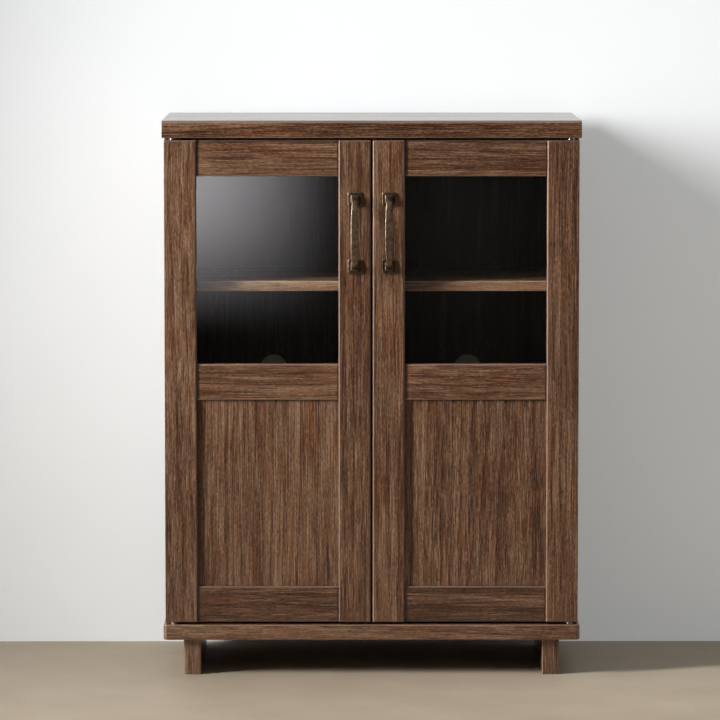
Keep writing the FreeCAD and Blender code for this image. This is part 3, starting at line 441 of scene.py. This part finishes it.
# %% Antiqued brass
BLOTCH = 6 * MM
CAST_GRAIN = 0.7 * MM
CAST_RELIEF, CAST_DEPTH = 0.12, 0.1 * MM
BLOTCH_SHARE = 0.35
PATINA_STOPS = [(0.12, "#3c322a"), (0.34, "#7f6b56"), (0.7, "#c4aa92")]
PATINA_DULL, PATINA_POLISHED = 0.55, 0.36


def antiqued_brass(name):
    """Blackened brass: bright metal where the wear attribute, which also paints highlights on the edges, and
    uneven blotches meet, dark elsewhere.
    """
    material, tree = start_material(name)
    place = add(tree, "TexCoord").outputs["Object"]
    worn_and_highlit = add(tree, "Attribute", attribute_name="wear_and_highlight")
    blotches = add(tree, "TexNoise", {"Vector": place, "Scale": 1 / BLOTCH, "Detail": 4.0}).outputs["Fac"]
    rub_and_highlight = add(tree, "Math", {0: worn_and_highlit.outputs["Fac"], 1: blotches}, operation="MULTIPLY")
    shine = add(tree, "Math", {0: blotches, 1: BLOTCH_SHARE, 2: rub_and_highlight.outputs["Value"]},
                operation="MULTIPLY_ADD")
    colour = add(tree, "ValToRGB", {"Fac": shine.outputs["Value"]}, stops=PATINA_STOPS)
    gloss = add(tree, "MapRange", {"Value": shine.outputs["Value"], "To Min": PATINA_DULL,
                                   "To Max": PATINA_POLISHED})
    grain = add(tree, "TexNoise", {"Vector": place, "Scale": 1 / CAST_GRAIN, "Detail": 3.0})
    bumps = add(tree, "Bump", {"Height": grain.outputs["Fac"], "Strength": CAST_RELIEF,
                               "Distance": CAST_DEPTH})
    shader = add(tree, "BsdfPrincipled", {"Base Color": colour.outputs["Color"], "Metallic": 1.0,
                                          "Roughness": gloss.outputs["Result"],
                                          "Normal": bumps.outputs["Normal"]})
    add(tree, "OutputMaterial", {"Surface": shader.outputs["BSDF"]})
    return material


handle_metal = antiqued_brass("brass_antiqued_cast")
print("handle metal mixed")

# %% Put the handles on the doors
SHARP = math.radians(40)


def casting(name, shells, material):
    """One mesh of several closed tubes of points, with the wear and painted highlight of each point as an
    attribute.
    """
    vertices, faces, wear_and_highlight = [], [], []
    for points, rubbed_and_highlit in shells:
        offset = sum(len(v) for v in vertices)
        faces += [[i + offset for i in face] for face in tube_faces(len(points), AROUND)]
        vertices.append(points.reshape(-1, 3))
        wear_and_highlight.append(rubbed_and_highlit.reshape(-1))
    mesh = bpy.data.meshes.new(name)
    mesh.from_pydata(np.concatenate(vertices).tolist(), [], faces)
    mesh.polygons.foreach_set("use_smooth", np.ones(len(faces), bool))
    mesh.set_sharp_from_angle(angle=SHARP)
    mesh.attributes.new("wear_and_highlight", "FLOAT", "POINT").data.foreach_set("value", np.concatenate(wear_and_highlight))
    mesh.materials.append(material)
    piece = bpy.data.objects.new(name, mesh)
    bpy.context.scene.collection.objects.link(piece)
    return piece


for side in SIDES:
    low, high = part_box(f"{side}_handle")
    x, face, z = (low.x + high.x) / 2, high.y, (low.z + high.z) / 2
    shells = [bow(x, face, z)] + [base(x, face, z + turn * PITCH / 2) for turn in (-1, 1)]
    handle = casting(f"{side}_bow_handle", shells, handle_metal)
    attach(handle, f"{side}_door")
    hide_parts(f"{side}_handle")
    print(handle.name, len(handle.data.polygons), "faces")

# %% [markdown]
# ## Floor
# The cabinet stands on a plain pale floor. A disc that fades into the background towards its rim leaves no
# horizon line behind the cabinet, and it looks the same from every side.

# %% Lay the floor
FLOOR_RADIUS, RIM_POINTS = 6.0, 96
FADE_START, FADE_END = 1.1, 3.2
MOTTLES_PER_METRE = 9.0
FLOOR_STOPS = [(0.3, "#ab9c86"), (0.7, "#b5a691")]


def pale_floor(name):
    """Matt pale floor, mixed into full transparency with the distance from the middle."""
    material, tree = start_material(name)
    place = add(tree, "TexCoord").outputs["Object"]
    away = add(tree, "VectorMath", {0: place}, operation="LENGTH")
    fade = add(tree, "MapRange", {"Value": away.outputs["Value"], "From Min": FADE_START,
                                  "From Max": FADE_END}, interpolation_type="SMOOTHSTEP")
    mottle = add(tree, "TexNoise", {"Vector": place, "Scale": MOTTLES_PER_METRE, "Detail": 5.0})
    colour = add(tree, "ValToRGB", {"Fac": mottle.outputs["Fac"]}, stops=FLOOR_STOPS)
    paint = add(tree, "BsdfPrincipled", {"Base Color": colour.outputs["Color"], "Roughness": 0.6})
    gone = add(tree, "BsdfTransparent")
    mixed = add(tree, "MixShader", {0: fade.outputs["Result"], 1: paint.outputs["BSDF"],
                                    2: gone.outputs["BSDF"]})
    add(tree, "OutputMaterial", {"Surface": mixed.outputs["Shader"]})
    return material


rim = np.linspace(0, 2 * math.pi, RIM_POINTS, endpoint=False)
floor_mesh = bpy.data.meshes.new("floor")
floor_mesh.from_pydata((FLOOR_RADIUS * np.stack([np.cos(rim), np.sin(rim), 0 * rim], -1)).tolist(), [],
                       [list(range(len(rim)))])
floor_mesh.materials.append(pale_floor("floor_matt_pale"))
floor = bpy.data.objects.new("floor", floor_mesh)
bpy.context.scene.collection.objects.link(floor)
print(f"floor of {FLOOR_RADIUS} m radius")

# %% [markdown]
# ## Backdrop
# A pale board stands upright close behind the cabinet, so that the gap between the feet is in shade and the
# top board mirrors something pale. It is there from the front only. From behind it is clear, and light from
# behind passes it on the way to the cabinet's back, so that this can be looked at too.

# %% Stand up the backdrop
BACKDROP_Y = 0.184
BACKDROP_HALF, BACKDROP_HIGH = 6.0, 4.0
# Light passes on its last few centimetres, above the height of the feet.
NEAR, ABOVE_FEET = 0.06, 0.06
# A painted glow stands in for light from overhead on the board, more so higher up, with a painted shadow
# behind the cabinet, where the glow is left out.
PAINTED_GLOW_LOW, PAINTED_GLOW_HIGH = 0.20, 0.265
CABINET_HALF, CABINET_TOP, SHADE_EDGE = 0.30, 0.80, 0.06
CLOUDS_PER_METRE = 2.0
PALE_STOPS = [(0.3, "#eff2f3"), (0.7, "#f4f7f8")]


def one_way_pale(name):
    """Matt pale paint on the front, with a painted glow and a painted shadow of the cabinet. Clear on the
    back, and for soft light close to the cabinet's back.
    """
    material, tree = start_material(name)
    place = add(tree, "TexCoord").outputs["Object"]
    uneven = add(tree, "TexNoise", {"Vector": place, "Scale": CLOUDS_PER_METRE, "Detail": 4.0})
    colour = add(tree, "ValToRGB", {"Fac": uneven.outputs["Fac"]}, stops=PALE_STOPS)
    matt = add(tree, "BsdfDiffuse", {"Color": colour.outputs["Color"]})
    spot = add(tree, "SeparateXYZ", {"Vector": place})
    over = add(tree, "MapRange", {"Value": spot.outputs["Z"], "From Min": CABINET_TOP - SHADE_EDGE,
                                  "From Max": CABINET_TOP}, interpolation_type="SMOOTHSTEP")
    aside = add(tree, "Math", {0: spot.outputs["X"]}, operation="ABSOLUTE")
    beside = add(tree, "MapRange", {"Value": aside.outputs["Value"], "From Min": CABINET_HALF - SHADE_EDGE,
                                    "From Max": CABINET_HALF}, interpolation_type="SMOOTHSTEP")
    outside_painted_shadow = add(tree, "Math", {0: over.outputs["Result"], 1: beside.outputs["Result"]}, operation="MAXIMUM")
    level = add(tree, "MapRange", {"Value": spot.outputs["Z"], "From Max": CABINET_TOP, "To Min": PAINTED_GLOW_LOW,
                                   "To Max": PAINTED_GLOW_HIGH})
    painted_glow = add(tree, "Math", {0: outside_painted_shadow.outputs["Value"], 1: level.outputs["Result"]}, operation="MULTIPLY")
    # The painted glow stands in for light on the board, left out behind the cabinet as a painted shadow.
    glow = add(tree, "Emission", {"Color": colour.outputs["Color"], "Strength": painted_glow.outputs["Value"]})
    paint = add(tree, "AddShader", {0: matt.outputs["BSDF"], 1: glow.outputs["Emission"]})
    gone = add(tree, "BsdfTransparent")
    ray = add(tree, "LightPath")
    near = add(tree, "Math", {0: ray.outputs["Ray Length"], 1: NEAR}, operation="LESS_THAN")
    high = add(tree, "Math", {0: spot.outputs["Z"], 1: ABOVE_FEET}, operation="GREATER_THAN")
    close = add(tree, "Math", {0: near.outputs["Value"], 1: high.outputs["Value"]}, operation="MULTIPLY")
    soft = add(tree, "Math", {0: close.outputs["Value"], 1: ray.outputs["Is Diffuse Ray"]},
               operation="MULTIPLY")
    behind = add(tree, "NewGeometry").outputs["Backfacing"]
    clear = add(tree, "Math", {0: soft.outputs["Value"], 1: behind}, operation="MAXIMUM")
    mixed = add(tree, "MixShader", {0: clear.outputs["Value"], 1: paint.outputs["Shader"],
                                    2: gone.outputs["BSDF"]})
    add(tree, "OutputMaterial", {"Surface": mixed.outputs["Shader"]})
    return material


backdrop_mesh = bpy.data.meshes.new("backdrop")
outline = [(-BACKDROP_HALF, 0), (BACKDROP_HALF, 0),
           (BACKDROP_HALF, BACKDROP_HIGH), (-BACKDROP_HALF, BACKDROP_HIGH)]
backdrop_mesh.from_pydata([(x, BACKDROP_Y, z) for x, z in outline], [], [(0, 1, 2, 3)])
backdrop_mesh.materials.append(one_way_pale("backdrop_matt_pale"))
backdrop = bpy.data.objects.new("backdrop", backdrop_mesh)
bpy.context.scene.collection.objects.link(backdrop)
print("backdrop faces", tuple(backdrop_mesh.polygons[0].normal))

# %% [markdown]
# ## Light
# One tall soft lamp stands on the left, in front of the cabinet, as a window would, and a grid keeps its
# light on the cabinet. The pale room is the world: plain where the camera sees it, dim where the panes
# mirror the viewer's side, so that the glass stays dark. A tall pale card to the left of the viewer is what
# the left pane mirrors.

# %% Window lamp
LAMP_PLACE, LAMP_TARGET = (-1.77, -0.95, 1.35), (0.6, -0.3, 0.55)
LAMP_WIDTH, LAMP_HEIGHT, LAMP_POWER = 0.38, 1.4, 17.3
# The angle into which the grid keeps its light.
LAMP_SPREAD = math.radians(65)


def aim(place, target):
    """Euler angles that turn an object's own -Z from a place towards a target."""
    x, y, z = np.subtract(target, place)
    return (math.atan2(math.hypot(x, y), -z), 0.0, math.atan2(y, x) - QUARTER)


lamp = bpy.data.lights.new("window_lamp", "AREA")
lamp.shape = "RECTANGLE"
lamp.size, lamp.size_y, lamp.energy = LAMP_WIDTH, LAMP_HEIGHT, LAMP_POWER
lamp.spread = LAMP_SPREAD
stand = bpy.data.objects.new("window_lamp", lamp)
stand.location, stand.rotation_euler = LAMP_PLACE, aim(LAMP_PLACE, LAMP_TARGET)
stand.visible_camera = False
bpy.context.scene.collection.objects.link(stand)
print(f"lamp of {LAMP_WIDTH} x {LAMP_HEIGHT} m, {LAMP_POWER} W")

# %% Room
SEEN = 0.8
FILL_FRONT, FILL_BACK = 0.14, 0.70
# The panes mirror what lies this close to straight in front of them, as a cosine.
MIRROR_FROM, MIRROR_TO, HAZE_TO = -0.99, -0.97, -0.5
MIRROR_DIM, MIRROR_LEFT, MIRROR_RIGHT = 0.008, 0.6, 0.2
SIDE_REACH = 0.7
ROOM_COLOUR = "#f6f7f7"

world = bpy.data.worlds.new("pale_room")
bpy.context.scene.world = world
world.use_nodes = True
room = world.node_tree
room.nodes.clear()
direction = add(room, "SeparateXYZ", {"Vector": add(room, "TexCoord").outputs["Generated"]})
sideways, towards = direction.outputs["X"], direction.outputs["Y"]
ray = add(room, "LightPath")
fill = add(room, "MapRange", {"Value": towards, "From Min": -1.0, "From Max": 1.0, "To Min": FILL_FRONT,
                              "To Max": FILL_BACK})
sides = add(room, "MapRange", {"Value": sideways, "From Min": -SIDE_REACH, "From Max": SIDE_REACH,
                               "To Min": MIRROR_LEFT, "To Max": MIRROR_RIGHT},
            interpolation_type="SMOOTHSTEP")
mirrored = add(room, "MapRange", {"Value": towards, "From Min": MIRROR_FROM, "From Max": HAZE_TO,
                                  "To Min": MIRROR_DIM, "To Max": sides.outputs["Result"]},
               interpolation_type="SMOOTHSTEP")
through = add(room, "MapRange", {"Value": towards, "From Min": MIRROR_FROM, "From Max": MIRROR_TO,
                                 "To Min": MIRROR_DIM, "To Max": SEEN}, interpolation_type="SMOOTHSTEP")
# Light that a surface has scattered is fill, even if it left through a pane.
direct = add(room, "Math", {0: ray.outputs["Diffuse Depth"], 1: 0.5}, operation="LESS_THAN")
looking = add(room, "Math", {0: direct.outputs["Value"], 1: ray.outputs["Is Transmission Ray"]},
              operation="MULTIPLY")
level = fill.outputs["Result"]
for kind, seen in ((ray.outputs["Is Glossy Ray"], mirrored), (looking.outputs["Value"], through)):
    level = add(room, "Mix", {0: kind, 2: level, 3: seen.outputs["Result"]}).outputs[0]
level = add(room, "Mix", {0: ray.outputs["Is Camera Ray"], 2: level, 3: SEEN}).outputs[0]
background = add(room, "Background", {"Color": linear(ROOM_COLOUR), "Strength": level})
add(room, "OutputWorld", {"Surface": background.outputs["Background"]})
print("room lit")

# %% The card that the left pane mirrors
CARD_PLANE = -4.0
CARD_LEFT, CARD_RIGHT, CARD_LOW, CARD_HIGH = -1.1, 0.0, 0.1, 1.3
CARD_GLOW, CARD_COLOUR = 8.0, "#fdf9fd"
# Where the card's glow fades out: a lower and an upper pair of places on each axis.
CARD_FADES = {"X": ((-1.05, -0.6), (-0.45, -0.02)), "Z": ((0.145, 0.545), (0.8, 1.25))}


def soft_card(name):
    """Glow that rises and falls smoothly along two axes: four smooth steps multiplied. Only clear mirrors,
    the panes, show it, and satin wood stays free of its haze."""
    material, tree = start_material(name)
    place = add(tree, "SeparateXYZ", {"Vector": add(tree, "TexCoord").outputs["Object"]})
    glow = CARD_GLOW
    for axis, (rise, fall) in CARD_FADES.items():
        for (start, end), (bottom, top) in ((rise, (0.0, 1.0)), (fall, (1.0, 0.0))):
            step = add(tree, "MapRange", {"Value": place.outputs[axis], "From Min": start, "From Max": end,
                                          "To Min": bottom, "To Max": top}, interpolation_type="SMOOTHSTEP")
            faded = add(tree, "Math", {0: glow, 1: step.outputs["Result"]}, operation="MULTIPLY")
            glow = faded.outputs["Value"]
    mirror = add(tree, "LightPath").outputs["Is Singular Ray"]
    seen = add(tree, "Math", {0: glow, 1: mirror}, operation="MULTIPLY")
    light = add(tree, "Emission", {"Strength": seen.outputs["Value"], "Color": linear(CARD_COLOUR)})
    add(tree, "OutputMaterial", {"Surface": light.outputs["Emission"]})
    return material


card_mesh = bpy.data.meshes.new("pale_card")
corners = [(x, CARD_PLANE, z) for x, z in ((CARD_LEFT, CARD_LOW), (CARD_LEFT, CARD_HIGH),
                                           (CARD_RIGHT, CARD_HIGH), (CARD_RIGHT, CARD_LOW))]
card_mesh.from_pydata(corners, [], [(0, 1, 2, 3)])
card_mesh.materials.append(soft_card("card_glowing"))
card = bpy.data.objects.new("pale_card", card_mesh)
card.visible_camera = card.visible_diffuse = card.visible_shadow = card.visible_transmission = False
bpy.context.scene.collection.objects.link(card)
print("card set up")

# %% [markdown]
# ## Camera
# A long lens far away keeps the uprights nearly parallel. It stands a little above the cabinet and looks
# slightly down, so that a sliver of the top board shows.

# %% Camera
CAMERA_PLACE = (-0.0385, -6.630, 1.0614)
CAMERA_PITCH, CAMERA_TURN = 5.318, -0.192
CAMERA_LENS, SENSOR = 227.5, 36.0

camera = bpy.data.cameras.new("camera")
camera.lens, camera.sensor_width = CAMERA_LENS, SENSOR
viewer = bpy.data.objects.new("camera", camera)
viewer.location = CAMERA_PLACE
viewer.rotation_euler = (math.radians(90 - CAMERA_PITCH), 0.0, math.radians(CAMERA_TURN))
bpy.context.scene.collection.objects.link(viewer)
bpy.context.scene.camera = viewer
bpy.context.scene.view_settings.view_transform = "Standard"
print(f"camera {-CAMERA_PLACE[1]:.2f} m in front, {CAMERA_PLACE[2]:.2f} m high")
